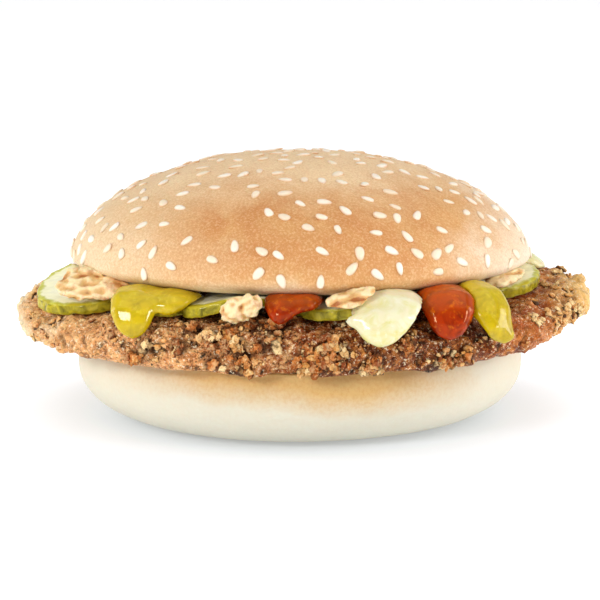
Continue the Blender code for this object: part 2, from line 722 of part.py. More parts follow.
def main():
    clear_scene()
    heel_look = material("soft_pale_crust", *CRUST_PALE)
    crown_look = material("baked_crust", *CRUST_BAKED)
    patty_look = material("fried_crumb", *FRIED_CRUMB)
    pickle_look = material("gherkin", *GHERKIN)
    onion_look = material("fried_onion", *FRIED_ONION)
    sauce_looks = {name: material(name, *look) for name, look in SAUCE_LOOKS.items()}

    heel = make_heel(heel_look)
    crown = add_object("bun_crown", crown_core(CROWN_SEGMENTS), crown_look)

    cutters = [
        add_object("crown_cutter", crown_core(CROWN_SEGMENTS, GAP)),
        add_object("patty_cutter", patty_core(PATTY_SEGMENTS, GAP)),
    ]
    slices = []
    for name, spec in SLICES.items():
        pickle = make_slice(name, spec, pickle_look)
        cut_away(pickle, cutters)
        drop_scraps(pickle)
        slices.append(pickle)
        cutters.append(make_slice(name + "_cutter", spec, grow=GAP))
    onions = [make_onion(name, spec, onion_look, cutters) for name, spec in ONIONS.items()]
    cutters += [make_onion(name + "_cutter", spec, None, [], GAP) for name, spec in ONIONS.items()]
    sauces = []
    for name, tongues in SAUCES.items():
        sauces.append(make_sauce(name, tongues, sauce_looks[name.split("_")[0]], cutters))
        for i, spec in enumerate(tongues):
            cutters.append(make_tongue(f"{name}_cutter_{i}", spec, None, GAP))
    for cutter in cutters:
        bpy.data.objects.remove(cutter)

    make_patty(patty_look, [heel, crown] + slices + onions + sauces)
    add_seeds(crown)


main()
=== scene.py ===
import math
import random

import bmesh
import bpy
import numpy as np
from mathutils import Matrix, Vector, noise
from mathutils.bvhtree import BVHTree
from mathutils.kdtree import KDTree


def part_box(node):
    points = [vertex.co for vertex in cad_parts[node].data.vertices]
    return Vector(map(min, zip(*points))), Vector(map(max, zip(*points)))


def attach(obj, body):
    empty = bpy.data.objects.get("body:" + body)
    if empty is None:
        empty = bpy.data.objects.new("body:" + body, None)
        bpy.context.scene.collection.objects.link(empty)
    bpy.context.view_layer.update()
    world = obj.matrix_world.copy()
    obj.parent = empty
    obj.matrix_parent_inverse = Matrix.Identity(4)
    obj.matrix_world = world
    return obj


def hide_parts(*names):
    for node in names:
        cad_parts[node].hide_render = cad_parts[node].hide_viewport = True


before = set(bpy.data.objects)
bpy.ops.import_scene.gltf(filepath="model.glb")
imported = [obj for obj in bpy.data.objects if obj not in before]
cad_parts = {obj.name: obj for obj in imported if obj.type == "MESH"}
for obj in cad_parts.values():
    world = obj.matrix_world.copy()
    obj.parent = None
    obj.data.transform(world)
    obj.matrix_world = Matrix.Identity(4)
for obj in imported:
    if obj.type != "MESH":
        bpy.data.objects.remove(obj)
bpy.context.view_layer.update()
mm = 0.001


# Colours are given as they look on a screen, 0 to 255
def paint(red, green, blue):
    def linear(value):
        value /= 255
        return value / 12.92 if value < 0.04045 else ((value + 0.055) / 1.055) ** 2.4
    return (linear(red), linear(green), linear(blue), 1)


# A material in the making: every call adds a node and wires what it is given
class Recipe:
    def __init__(self, name, **surface):
        self.material = bpy.data.materials.new(name)
        self.material.use_nodes = True
        self.tree = self.material.node_tree
        self.shader = self.tree.nodes["Principled BSDF"]
        self.place = self.node("TexCoord", {}).outputs["Object"]
        for key, value in surface.items():
            self.shader.inputs[key.replace("_", " ")].default_value = value

    def node(self, kind, inputs, **settings):
        made = self.tree.nodes.new("ShaderNode" + kind)
        for key, value in settings.items():
            setattr(made, key, value)
        for key, value in inputs.items():
            if isinstance(value, bpy.types.NodeSocket):
                self.tree.links.new(value, made.inputs[key])
            else:
                made.inputs[key].default_value = value
        return made

    def grain(self, size, detail=2, rough=0.5, warp=0.0):
        fed = {"Vector": self.place, "Scale": 1 / size, "Detail": detail}
        fed.update({"Roughness": rough, "Distortion": warp})
        return self.node("TexNoise", fed).outputs["Fac"]

    def cells(self, size):
        fed = {"Vector": self.place, "Scale": 1 / size}
        return self.node("TexVoronoi", fed, feature="F1").outputs["Distance"]

    def value(self, attribute):
        return self.node("Attribute", {}, attribute_name=attribute).outputs["Fac"]

    def axis(self, letter):
        return self.node("SeparateXYZ", {0: self.place}).outputs[letter]

    def spread(self, value, low, high, to=(0, 1)):
        fed = {"Value": value, "From Min": low, "From Max": high, "To Min": to[0], "To Max": to[1]}
        return self.node("MapRange", fed).outputs["Result"]

    def plus(self, a, b):
        return self.node("Math", {0: a, 1: b}, operation="ADD").outputs[0]

    def times(self, a, b):
        return self.node("Math", {0: a, 1: b}, operation="MULTIPLY").outputs[0]

    def size(self, a):
        return self.node("Math", {0: a}, operation="ABSOLUTE").outputs[0]

    def ramp(self, value, *stops):
        made = self.node("ValToRGB", {"Fac": value})
        colors = made.color_ramp
        colors.interpolation = "EASE"
        while len(colors.elements) < len(stops):
            colors.elements.new(0.5)
        for element, (place, color) in zip(colors.elements, stops):
            element.position = place
            element.color = color
        return made.outputs["Color"]

    def blend(self, share, under, over):
        made = self.node("Mix", {0: share, 6: under, 7: over}, data_type="RGBA", blend_type="MIX")
        return made.outputs[2]

    def bump(self, height, strength, depth, under=None):
        fed = {"Height": height, "Strength": strength, "Distance": depth}
        if under:
            fed["Normal"] = under
        return self.node("Bump", fed).outputs["Normal"]

    def finish(self, color, rough=None, normal=None):
        self.tree.links.new(color, self.shader.inputs["Base Color"])
        if rough:
            self.tree.links.new(rough, self.shader.inputs["Roughness"])
        if normal:
            self.tree.links.new(normal, self.shader.inputs["Normal"])
        return self.material


# Mesh helpers

def pieceName(word, node):
    # the piece that dresses pickle_front_left is called gherkinFrontLeft
    return word + "".join(part.capitalize() for part in node.split("_")[1:])


def addPiece(name, mesh, material, nodes):
    piece = bpy.data.objects.new(name, mesh)
    bpy.context.scene.collection.objects.link(piece)
    mesh.materials.clear()
    mesh.materials.append(material)
    mesh.shade_smooth()
    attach(piece, "root")
    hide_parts(*nodes)
    return piece


def gridMesh(name, rings, poles):
    # a closed skin over rings of points, gathered to a pole at each end and facing outward
    count = len(rings[0])
    points = np.concatenate([np.asarray(rings).reshape(-1, 3), np.asarray(poles)])
    first, last = len(points) - 2, len(points) - 1
    faces = []
    for k in range(len(rings) - 1):
        for i in range(count):
            j = (i + 1) % count
            faces.append((k * count + i, (k + 1) * count + i, (k + 1) * count + j, k * count + j))
    for i in range(count):
        j = (i + 1) % count
        faces.append((first, i, j))
        faces.append((last, (len(rings) - 1) * count + j, (len(rings) - 1) * count + i))
    mesh = bpy.data.meshes.new(name)
    mesh.from_pydata([tuple(p) for p in points], [], faces)
    mesh.update()
    bm = bmesh.new()
    bm.from_mesh(mesh)
    bmesh.ops.recalc_face_normals(bm, faces=bm.faces)
    bm.to_mesh(mesh)
    bm.free()
    return mesh


def cornerLists(bm):
    # the points of an open mesh, and the corners of each of its faces
    points = np.array([v.co for v in bm.verts])
    return points, np.array([[v.index for v in f.verts] for f in bm.faces])


def joinedMesh(name, parts, values):
    # one mesh of many pairs of points and faces, with a value for every point under each name
    allPoints, allFaces = [], []
    start = 0
    for points, faces in parts:
        allPoints.append(points)
        allFaces.append(faces + start)
        start += len(points)
    mesh = bpy.data.meshes.new(name)
    mesh.from_pydata(np.concatenate(allPoints), [], np.concatenate(allFaces))
    mesh.update()
    for key, found in values.items():
        writeValue(mesh, key, np.concatenate(found))
    return mesh


def readPoints(mesh):
    flat = np.empty(len(mesh.vertices) * 3)
    mesh.vertices.foreach_get("co", flat)
    return flat.reshape(-1, 3)


def readNormals(mesh):
    flat = np.empty(len(mesh.vertices) * 3)
    mesh.vertices.foreach_get("normal", flat)
    return flat.reshape(-1, 3)


def writePoints(mesh, points):
    mesh.vertices.foreach_set("co", points.ravel())
    mesh.update()


def writeValue(mesh, name, values):
    made = mesh.attributes.new(name, "FLOAT", "POINT")
    made.data.foreach_set("value", np.asarray(values, dtype=np.float32))


def softened(mesh, repeats):
    # every point moves half the way to the mean of its neighbours
    edges = np.empty(len(mesh.edges) * 2, dtype=np.int64)
    mesh.edges.foreach_get("vertices", edges)
    edges = edges.reshape(-1, 2)
    points = readPoints(mesh)
    ends = np.concatenate([edges[:, 0], edges[:, 1]])
    others = np.concatenate([edges[:, 1], edges[:, 0]])
    count = np.bincount(ends, minlength=len(points))[:, None]
    for _ in range(repeats):
        near = points[others]
        mean = np.stack([np.bincount(ends, near[:, k], len(points)) for k in range(3)], 1) / count
        points = points + (mean - points) * 0.5
    writePoints(mesh, points)


def remeshedCopy(node, voxel, repeats):
    # a fine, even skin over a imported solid, with its facets smoothed away
    source = bpy.data.objects.new("source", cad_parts[node].data.copy())
    bpy.context.scene.collection.objects.link(source)
    fine = source.modifiers.new("fine", "REMESH")
    fine.mode = "VOXEL"
    fine.voxel_size = voxel
    graph = bpy.context.evaluated_depsgraph_get()
    mesh = bpy.data.meshes.new_from_object(source.evaluated_get(graph))
    bpy.data.objects.remove(source)
    softened(mesh, repeats)
    return mesh


def rough(points, size, octaves, seed):
    # fractal noise at every point, about -1 to 1
    shift = Vector((seed, seed * 1.7, -seed))
    return np.array([noise.fractal(Vector(p) / size + shift, 0.8, 2.1, octaves) for p in points])


def nodeTree(name):
    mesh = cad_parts[name].data
    corners = [tuple(face.vertices) for face in mesh.polygons]
    return BVHTree.FromPolygons([v.co for v in mesh.vertices], corners)


def lumps(kinds, seed, level, unevenness, squash):
    # a few broken crumbs, each about one unit across, to be repeated at many sizes
    draw = random.Random(seed)
    made = []
    for _ in range(kinds):
        bm = bmesh.new()
        bmesh.ops.create_icosphere(bm, subdivisions=level, radius=0.5)
        shift = Vector([draw.uniform(0, 90) for _ in range(3)])
        for vert in bm.verts:
            near = noise.fractal(vert.co * 2.4 + shift, 0.6, 2.2, 3)
            vert.co *= 1 + unevenness * near
            vert.co.z *= squash
        made.append(cornerLists(bm))
        bm.free()
    return made


def scatterMesh(name, shapes, places, seed, lean):
    # one joined mesh of many small pieces; a place is a middle, a direction outward, a size,
    # the point underneath, the height that counts as fully raised, and a tone from 0 to 1
    draw = random.Random(seed)
    parts, tones, rises = [], [], []
    for middle, outward, size, foot, full, tone in places:
        points, faces = shapes[draw.randrange(len(shapes))]
        turn = outward.to_track_quat("Z", "Y").to_matrix()
        turn = turn @ Matrix.Rotation(draw.uniform(0, 6.28), 3, "Z")
        turn = turn @ Matrix.Rotation(draw.gauss(0, lean), 3, "X")
        stretch = [draw.uniform(0.8, 1.25), draw.uniform(0.8, 1.1), draw.uniform(0.8, 1.1)]
        moved = (points * np.array(stretch) * size) @ np.array(turn).T + np.array(middle)
        parts.append((moved, faces))
        tones.append(np.full(len(points), tone))
        rises.append(np.clip((moved - np.array(foot)) @ np.array(outward) / full, 0, 1))
    return joinedMesh(name, parts, {"tone": tones, "rise": rises})


# Lower bun

heelStyle = dict(
    radius=58.5 * mm, footRadius=38.5 * mm,
    bellyHeight=14 * mm,
    topInset=1.6 * mm,
    cutEdge=0.7 * mm,         # rounding of the cut edge
    around=220,               # points about each ring
    waves=((2, 0.006, 0.4), (3, 0.004, 2), (5, 0.003, 4.1)),   # how it departs from round
    swell=0.35 * mm, swellSize=22 * mm, shrink=0.15 * mm,      # dents, kept inside the solid
    pale=(216, 210, 190), foot=(223, 220, 204),
    toasted=(210, 164, 82),
    toastedFrom=10.5 * mm, toastedFull=17.5 * mm,
    toastSpeck=(196, 134, 58), speck=(204, 176, 132),
)


def makeHeel():
    style = heelStyle
    radius, foot, belly = style["radius"], style["footRadius"], style["bellyHeight"]
    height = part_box("bun_heel")[1].z
    topRadius = radius - style["topInset"]
    edge = style["cutEdge"]
    profile = []
    for k in range(1, 25):
        a = math.pi / 2 * k / 24
        profile.append((foot + (radius - foot) * math.sin(a), belly * (1 - math.cos(a))))
    for k in range(1, 6):
        share = k / 6
        inset = share ** 2 * style["topInset"] * 0.8
        profile.append((radius - inset, belly + (height - edge - belly) * share))
    for k in range(7):
        a = math.pi / 2 * k / 6
        profile.append((topRadius - edge * (1 - math.cos(a)), height - edge * (1 - math.sin(a))))
    profile = [(foot * share, 0) for share in (0.4, 0.8, 1)] + profile
    profile += [(topRadius * share, height) for share in (0.96, 0.8, 0.5)]
    rings = []
    for r, z in profile:
        ring = []
        for i in range(style["around"]):
            a = 2 * math.pi * i / style["around"]
            bulge = 1
            if r >= foot:
                bulge += sum(size * math.sin(n * a + phase) for n, size, phase in style["waves"])
            ring.append((r * bulge * math.cos(a), r * bulge * math.sin(a), z))
        rings.append(ring)
    mesh = gridMesh("bunHeelMesh", rings, [(0, 0, 0), (0, 0, height)])
    points = readPoints(mesh)
    # the foot and the cut face stay flat
    side = np.clip(points[:, 2] / (3 * mm), 0, 1)
    side *= np.clip((height - points[:, 2]) / (2 * mm), 0, 1)
    swell = rough(points, style["swellSize"], 2, 3.1) * style["swell"] * side
    flat = np.linalg.norm(points[:, :2], axis=1, keepdims=True)
    away = points[:, :2] / np.maximum(flat, 1e-6)
    points[:, :2] += away * (swell - style["shrink"] * side)[:, None]
    writePoints(mesh, points)
    addPiece("bunHeel", mesh, heelCrust(), ["bun_heel"])


def heelCrust():
    style = heelStyle
    r = Recipe("soft pale crust", Roughness=0.75, Subsurface_Weight=0.12, Subsurface_Scale=0.003)
    cloud = r.grain(20 * mm, 3, 0.55)
    depth = r.plus(r.axis("Z"), r.spread(cloud, 0.3, 0.7, (-1.8 * mm, 1.8 * mm)))
    depth = r.plus(depth, r.spread(r.axis("X"), -40 * mm, 40 * mm, (-1.6 * mm, 1.6 * mm)))
    toast = r.spread(depth, style["toastedFrom"], style["toastedFull"])
    # toasted about the middle of the front and of the back only
    aside = r.plus(r.size(r.axis("X")), r.spread(cloud, 0.3, 0.7, (-6 * mm, 6 * mm)))
    share = r.times(toast, r.spread(aside, 48 * mm, 22 * mm))
    color = r.blend(r.spread(r.axis("Z"), 0, 12 * mm), paint(*style["foot"]), paint(*style["pale"]))
    color = r.blend(r.times(share, 0.85), color, paint(*style["toasted"]))
    speck = r.grain(0.9 * mm, 3, 0.7)
    toastSpeck = r.times(share, r.spread(speck, 0.42, 0.66, (0, 0.4)))
    color = r.blend(toastSpeck, color, paint(*style["toastSpeck"]))
    color = r.blend(r.spread(speck, 0.35, 0.75, (0, 0.12)), color, paint(*style["speck"]))
    normal = r.bump(speck, 0.25, 0.0003)
    normal = r.bump(r.grain(6 * mm, 3, 0.55), 0.35, 0.0009, normal)
    return r.finish(color, None, normal)


# Upper bun and its seeds

crownStyle = dict(
    radius=60 * mm, dome=27 * mm, widestZ=41.6 * mm,
    lip=3.5 * mm, lipSag=0.8 * mm, lipReach=12 * mm,
    recess=2.2 * mm, recessRadius=43 * mm,
    tilt=math.radians(2), upperPower=1.75, outerPower=2.1,
    around=260,
    waves=((2, 0.004, 1.2), (3, 0.005, 0.3), (5, 0.003, 2.2)),     # how it departs from round
    swell=0.3 * mm, swellSize=16 * mm, dimple=0.06 * mm, dimpleSize=5 * mm, shrink=0.15 * mm,
    rim=(222, 206, 174), belly=(220, 169, 106), baked=(196, 122, 58), top=(248, 218, 172),
    leftSide=(234, 210, 170), rightSide=(248, 234, 212),
    seeds=290, seedSpread=0.85, seedSpacing=4.4 * mm,
    seedLength=3.75 * mm, seedWidth=2.65 * mm, seedRise=0.58 * mm,
    seedSizes=(0.86, 1.1),    # from the smallest to the largest, as a share
    seedPale=(250, 240, 225), seedTan=(242, 222, 194), seedFoot=(206, 158, 106),
    seedFleck=(235, 214, 180), darkSpeck=(178, 108, 54), paleSpeck=(250, 226, 190),
)


def crownPoint(angle, polar):
    style = crownStyle
    waves = sum(size * math.sin(n * angle + phase) for n, size, phase in style["waves"])
    swell = 1 + math.sin(polar) * waves
    radius = style["radius"] * swell * math.sin(polar) ** (2 / style["outerPower"])
    height = style["dome"] * swell * math.cos(polar) ** (2 / style["upperPower"])
    return Vector((radius * math.cos(angle), radius * math.sin(angle), height))


def crownPlace():
    style = crownStyle
    return Matrix.Translation((0, 0, style["widestZ"])) @ Matrix.Rotation(-style["tilt"], 4, "X")


def crownLip(x, y):
    return crownStyle["lip"] - crownStyle["lipSag"] * y / crownStyle["radius"]


def makeCrown():
    style = crownStyle
    angles = [2 * math.pi * i / style["around"] for i in range(style["around"])]
    rings = []
    for k in range(1, 61):
        polar = math.pi / 2 * min(0.99999, (k / 60) ** 0.9)
        rings.append([crownPoint(a, polar) for a in angles])
    edge = rings[-1]
    # the lip turns under, and the cut face is a little hollow inside it
    for k in range(1, 17):
        a = math.pi / 2 * k / 16
        share = 1 - style["lipReach"] * (1 - math.cos(a)) / style["radius"]
        drops = [-crownLip(p.x, p.y) * math.sin(a) for p in edge]
        rings.append([Vector((p.x * share, p.y * share, drop)) for p, drop in zip(edge, drops)])
    inner = 1 - style["lipReach"] / style["radius"]
    for k in range(1, 5):
        share = inner + (style["recessRadius"] / style["radius"] - inner) * k / 4
        rise = style["recess"] * k / 4
        rings.append([Vector((p.x * share, p.y * share, rise - crownLip(p.x, p.y))) for p in edge])
    poles = [crownPoint(0, 0), Vector((0, 0, style["recess"] - style["lip"]))]
    place = crownPlace()
    rings = [[tuple(place @ p) for p in ring] for ring in rings]
    mesh = gridMesh("bunCrownMesh", rings, [tuple(place @ p) for p in poles])
    points, normals = readPoints(mesh), readNormals(mesh)
    above = np.clip((points[:, 2] - style["widestZ"]) / (6 * mm), 0, 1)
    swell = rough(points, style["swellSize"], 2, 7.7) * style["swell"]
    swell += rough(points, style["dimpleSize"], 2, 1.3) * style["dimple"]
    points += normals * ((swell - style["shrink"]) * above)[:, None]
    writePoints(mesh, points)
    crown = addPiece("bunCrown", mesh, crownCrust(), ["bun_crown"])
    addSeeds(crown)


def crownCrust():
    style = crownStyle
    r = Recipe("baked crust", Roughness=0.6, Subsurface_Weight=0.12, Subsurface_Scale=0.002)
    cloud = r.grain(22 * mm, 4, 0.6, 0.4)
    level = r.plus(r.axis("Z"), r.spread(cloud, 0.25, 0.75, (-3 * mm, 3 * mm)))
    height = r.spread(level, 37 * mm, 68 * mm)
    # painted light: the crust is painted paler on top, where the lamp overhead falls
    color = r.ramp(height, (0.04, paint(*style["rim"])), (0.24, paint(*style["belly"])),
                   (0.62, paint(*style["belly"])), (0.95, paint(*style["top"])))
    # the middle is baked darker in soft patches; the two sides are pale, partly less baked and partly
    # painted light from the side lamps
    aside = r.plus(r.size(r.axis("X")), r.spread(cloud, 0.3, 0.7, (-7 * mm, 7 * mm)))
    patches = r.grain(13 * mm, 3, 0.6, 0.6)
    oven = r.times(r.spread(aside, 54 * mm, 24 * mm), r.spread(level, 42 * mm, 48 * mm))
    oven = r.times(oven, r.spread(level, 69 * mm, 58 * mm, (0.15, 1)))
    color = r.blend(r.times(oven, r.spread(patches, 0.32, 0.66, (0.26, 0.72))), color,
                    paint(*style["baked"]))
    x = r.plus(r.axis("X"), r.spread(cloud, 0.3, 0.7, (-7 * mm, 7 * mm)))
    # painted light: the left and right sides are painted paler where the side lamps fall, over a crust
    # that is less baked there
    color = r.blend(r.spread(x, -18 * mm, -54 * mm, (0, 0.85)), color, paint(*style["leftSide"]))
    color = r.blend(r.spread(x, 38 * mm, 59 * mm, (0, 0.9)), color, paint(*style["rightSide"]))
    speck = r.grain(0.6 * mm, 3, 0.75)
    color = r.blend(r.spread(speck, 0.42, 0.66, (0, 0.28)), color, paint(*style["darkSpeck"]))
    color = r.blend(r.spread(speck, 0.5, 0.34, (0, 0.24)), color, paint(*style["paleSpeck"]))
    normal = r.bump(speck, 0.35, 0.0002)
    normal = r.bump(r.grain(3.2 * mm, 3, 0.6), 0.25, 0.0005, normal)
    return r.finish(color, r.spread(speck, 0.3, 0.7, (0.5, 0.72)), normal)


def seedShape():
    # a drop lying on its side: round at one end, drawn out at the other
    around, along = 14, 9
    rings = []
    for k in range(1, along):
        t = k / along
        x = -math.cos(math.pi * t)
        girth = math.sin(math.pi * t) ** 0.75 * (1 - 0.34 * (1 - (x + 1) / 2) ** 1.3)
        rings.append([(x, girth * math.cos(b), girth * math.sin(b)) for b in
                      (2 * math.pi * i / around for i in range(around))])
    mesh = gridMesh("seedShape", rings, [(-1.06, 0, 0), (0.99, 0, 0)])
    bm = bmesh.new()
    bm.from_mesh(mesh)
    bmesh.ops.triangulate(bm, faces=bm.faces)
    points, faces = cornerLists(bm)
    bm.free()
    bpy.data.meshes.remove(mesh)
    return points, faces


def seedPlaces():
    style = crownStyle
    draw = random.Random(11)
    found = []
    while len(found) < style["seeds"]:
        polar = math.radians(89) * draw.uniform(0, 1) ** style["seedSpread"]
        angle = draw.uniform(0, 2 * math.pi)
        spin = draw.uniform(0, 2 * math.pi)
        point = crownPoint(angle, polar)
        if all((point - other[0]).length > style["seedSpacing"] for other in found):
            east = crownPoint(angle + 0.02, polar) - crownPoint(angle - 0.02, polar)
            south = crownPoint(angle, polar + 0.01) - crownPoint(angle, max(0, polar - 0.01))
            found.append((point, south.cross(east).normalized(), spin))
    return found


def addSeeds(crown):
    style = crownStyle
    points, faces = seedShape()
    place = crownPlace()
    skin = BVHTree.FromObject(crown, bpy.context.evaluated_depsgraph_get())
    draw = random.Random(4)
    parts, tones, edges = [], [], []
    for point, normal, spin in seedPlaces():
        size = draw.uniform(*style["seedSizes"])
        outward = place.to_3x3() @ normal
        middle = skin.find_nearest(place @ point)[0]
        turn = outward.to_track_quat("Z", "Y").to_matrix() @ Matrix.Rotation(spin, 3, "Z")
        turn = turn @ Matrix.Rotation(draw.gauss(0, 0.08), 3, "Y")
        width = style["seedWidth"] / 2 * draw.uniform(0.86, 1.08)
        rise = style["seedRise"] * draw.uniform(0.75, 1)
        half = np.array([style["seedLength"] / 2, width, rise]) * size
        moved = (points * half) @ np.array(turn).T + np.array(middle + outward * 0.02 * mm)
        parts.append((moved, faces))
        tones.append(np.full(len(points), draw.random()))
        # painted shade: a brown contact shadow at the foot of each seed fades towards the two sides,
        # where only it would show
        line = min(1, max(0.15, (58 - abs(middle.x) / mm) / 14))
        edges.append(np.clip(1.25 - points[:, 2] * 1.9, 0, 1) * line)
    mesh = joinedMesh("sesameSeedsMesh", parts, {"tone": tones, "edge": edges})
    addPiece("sesameSeeds", mesh, seedHusk(), ["bun_crown"])


def seedHusk():
    style = crownStyle
    r = Recipe("seed husk", Roughness=0.42, Subsurface_Weight=0.1, Subsurface_Scale=0.0006)
    pale, tan = paint(*style["seedPale"]), paint(*style["seedTan"])
    color = r.blend(r.spread(r.value("tone"), 0, 1), pale, tan)
    # painted shade: the foot of each seed is darkened as its contact shadow
    color = r.blend(r.spread(r.value("edge"), 0, 1, (0, 0.85)), color, paint(*style["seedFoot"]))
    fleck = r.spread(r.grain(0.5 * mm, 2), 0.4, 0.7, (0, 0.2))
    color = r.blend(fleck, color, paint(*style["seedFleck"]))
    normal = r.bump(r.grain(0.35 * mm, 2), 0.2, 0.0001)
    return r.finish(color, None, normal)


# Breaded cutlet

pattyStyle = dict(
    voxel=0.66 * mm,
    coatReach=(76 * mm, 62.5 * mm),     # half the length and half the depth of the coated rim
    crag=1.0 * mm, cragSize=5.5 * mm,   # coarse relief of the coat
    pit=0.5 * mm, pitSize=1.6 * mm,     # fine relief
    gap=(30, 8, 0), tip=(253, 208, 142), orangeTip=(238, 152, 72), glint=(255, 236, 200),
    heaped=(80, 28, 6), seam=(96, 34, 8), shade=(66, 24, 4),
    # the coat from its left end to its right end, each colour with its place in mm
    along=((-77, (255, 240, 200)), (-62, (236, 168, 104)), (-30, (236, 156, 92)), (0, (154, 68, 16)),
           (26, (110, 36, 0)), (46, (134, 52, 6)), (60, (202, 106, 38)), (77, (250, 198, 116))),
    wet=(164, 64, 14),        # an oily patch near the right end
    # loose crumbs, sizes in mm: parts is how many are baked together in one heap, grow and heap
    # are how far they stand off the coat, thin is how near another piece may be, and ends keeps
    # them to the two ends
    crumbs=dict(
        fine=dict(count=1300, size=(0.4, 0.9), level=1, uneven=0.6, squash=0.8, grow=0.1,
                  thin=0.5),
        broken=dict(count=300, size=(1.0, 2.0), level=2, uneven=0.95, squash=0.75, grow=0.1,
                    thin=0.6),
        clusters=dict(count=135, size=(0.8, 1.9), level=2, uneven=1.0, squash=0.9, grow=0.1,
                      thin=1.1, parts=8),
        chunks=dict(count=20, size=(2.2, 3.2), level=3, uneven=0.8, squash=0.7, grow=0,
                    thin=0.6, tones=(0.3, 0.42)),
        golden=dict(count=110, size=(0.7, 1.7), level=2, uneven=1.0, squash=0.8, grow=0,
                    thin=0.8, parts=4, ends=True, full=0.7, heap=0.3, tones=(0.5, 0.95)),
    ),
    crumbLean=0.5,
    crumbDark=(138, 62, 16), crumbOrange=(204, 118, 46), crumbGold=(226, 162, 82),
    crumbPale=(252, 222, 164), crumbPit=(104, 42, 8), crumbFoot=(50, 16, 0),
)


def coatShare(points):
    # how far a point is into the coated rim: 1 at the rim and on the open ends, 0 well inside
    halfLength, halfDepth = pattyStyle["coatReach"]
    reach = np.sqrt((points[:, 0] / halfLength) ** 2 + (points[:, 1] / halfDepth) ** 2)
    return np.clip((reach - 0.62) / 0.14, 0, 1)


def gathering(points):
    # where loose crumbs gather on the coat: in patches about its middle, hardly any at the two ends
    slow = rough(points, 8 * mm, 2, 5.5)
    middle = 1 - np.clip((np.abs(points[:, 0]) - 24 * mm) / (34 * mm), 0, 1)
    return np.clip((0.1 + 1.9 * (slow + 0.22)) * (0.04 + 0.96 * middle), 0.01, 1)


def makePatty():
    style = pattyStyle
    mesh = remeshedCopy("chicken_patty", style["voxel"], 3)
    points, normals = readPoints(mesh), readNormals(mesh)
    share = coatShare(points)
    flat = np.clip((points[:, 2] - 21.2 * mm) / (1.5 * mm), 0, 1)
    coarse = rough(points, style["cragSize"], 3, 2.2)
    fine = rough(points, style["pitSize"], 3, 9.4)
    ridge = 1 - np.abs(coarse) * 2
    ends = 1 + 0.5 * np.clip((np.abs(points[:, 0]) - 55 * mm) / (12 * mm), 0, 1)
    lift = style["crag"] * ends * (ridge * 0.7 - 0.35) + style["pit"] * fine
    points += normals * (lift * share * flat)[:, None]
    writePoints(mesh, points)
    writeValue(mesh, "rise", np.clip(0.5 + 0.5 * (ridge * 0.5 + fine * 0.7), 0, 1))
    writeValue(mesh, "gather", gathering(points))
    patty = addPiece("chickenPatty", mesh, fried(), ["chicken_patty"])
    addCrumbs(patty)


def alongCoat(r):
    # the coat's colour by its place from left to right, pushed about by a slow noise
    cloud = r.grain(16 * mm, 3, 0.6, 0.5)
    x = r.plus(r.axis("X"), r.spread(cloud, 0.3, 0.7, (-9 * mm, 9 * mm)))
    stops = [(0.5 + x / 160, paint(*color)) for x, color in pattyStyle["along"]]
    return r.ramp(r.spread(x, -80 * mm, 80 * mm), *stops)


def fried():
    style = pattyStyle
    r = Recipe("fried coat", Roughness=0.35, Specular_IOR_Level=0.45,
               Specular_Tint=(1, 0.72, 0.44, 1), Subsurface_Weight=0.03, Subsurface_Scale=0.001)
    rise = r.value("rise")
    coat = alongCoat(r)
    color = r.blend(r.spread(r.value("gather"), 0.3, 0.8, (0, 0.5)), coat, paint(*style["heaped"]))
    streak = r.grain(2.2 * mm, 4, 0.7, 0.8)
    # the raised tips are pale at both ends and orange right of the middle
    pale, orange = paint(*style["tip"]), paint(*style["orangeTip"])
    along = r.spread(r.axis("X"), -80 * mm, 80 * mm)
    tip = r.ramp(along, (0.42, pale), (0.62, orange), (0.82, orange), (0.94, pale))
    # the painted crevice shade is darkest in the middle and hardly shows at the two ends
    inner = r.spread(r.size(r.axis("X")), 68 * mm, 44 * mm, (0.3, 1))
    color = r.blend(r.spread(streak, 0.5, 0.64, (0, 0.6)), color, tip)
    dark = r.times(r.spread(streak, 0.48, 0.36, (0, 0.75)), inner)
    color = r.blend(dark, color, paint(*style["seam"]))
    color = r.blend(r.spread(rise, 0.62, 0.95, (0, 0.5)), color, tip)
    # painted shade: the low places of the relief are darkened with the crevice shade colour
    color = r.blend(r.times(r.spread(rise, 0.54, 0.26), inner), color, paint(*style["gap"]))
    oily = r.spread(r.axis("X"), 46 * mm, 55 * mm)
    oily = r.times(oily, r.spread(r.axis("X"), 73 * mm, 63 * mm))
    oily = r.times(oily, r.spread(r.grain(5 * mm, 2), 0.4, 0.55))
    oily = r.times(oily, r.spread(r.axis("Z"), 27 * mm, 30 * mm))
    color = r.blend(r.times(oily, 0.6), color, paint(*style["wet"]))
    speck = r.grain(0.9 * mm, 4, 0.75)
    # painted shade: small dark specks in the crevice shade colour stand for shade in fine pits
    color = r.blend(r.times(r.spread(speck, 0.47, 0.36), inner), color, paint(*style["gap"]))
    # painted highlight: pale specks painted into the colour stand for glints of light on the oily coat
    color = r.blend(r.spread(speck, 0.57, 0.63, (0, 0.9)), color, paint(*style["glint"]))
    # painted shade: the coat is darkened about the heaps of crumbs
    color = r.blend(r.spread(r.value("shade"), 0, 1, (0, 0.8)), color, paint(*style["shade"]))
    normal = r.bump(r.grain(0.7 * mm, 4, 0.7), 0.9, 0.0006)
    normal = r.bump(r.grain(2.6 * mm, 3, 0.6), 0.6, 0.001, normal)
    gloss = r.spread(r.grain(1.5 * mm, 2), 0.35, 0.65, (0.1, 0.46))
    gloss = r.times(gloss, r.spread(oily, 0, 1, (1, 0.5)))
    return r.finish(color, gloss, normal)


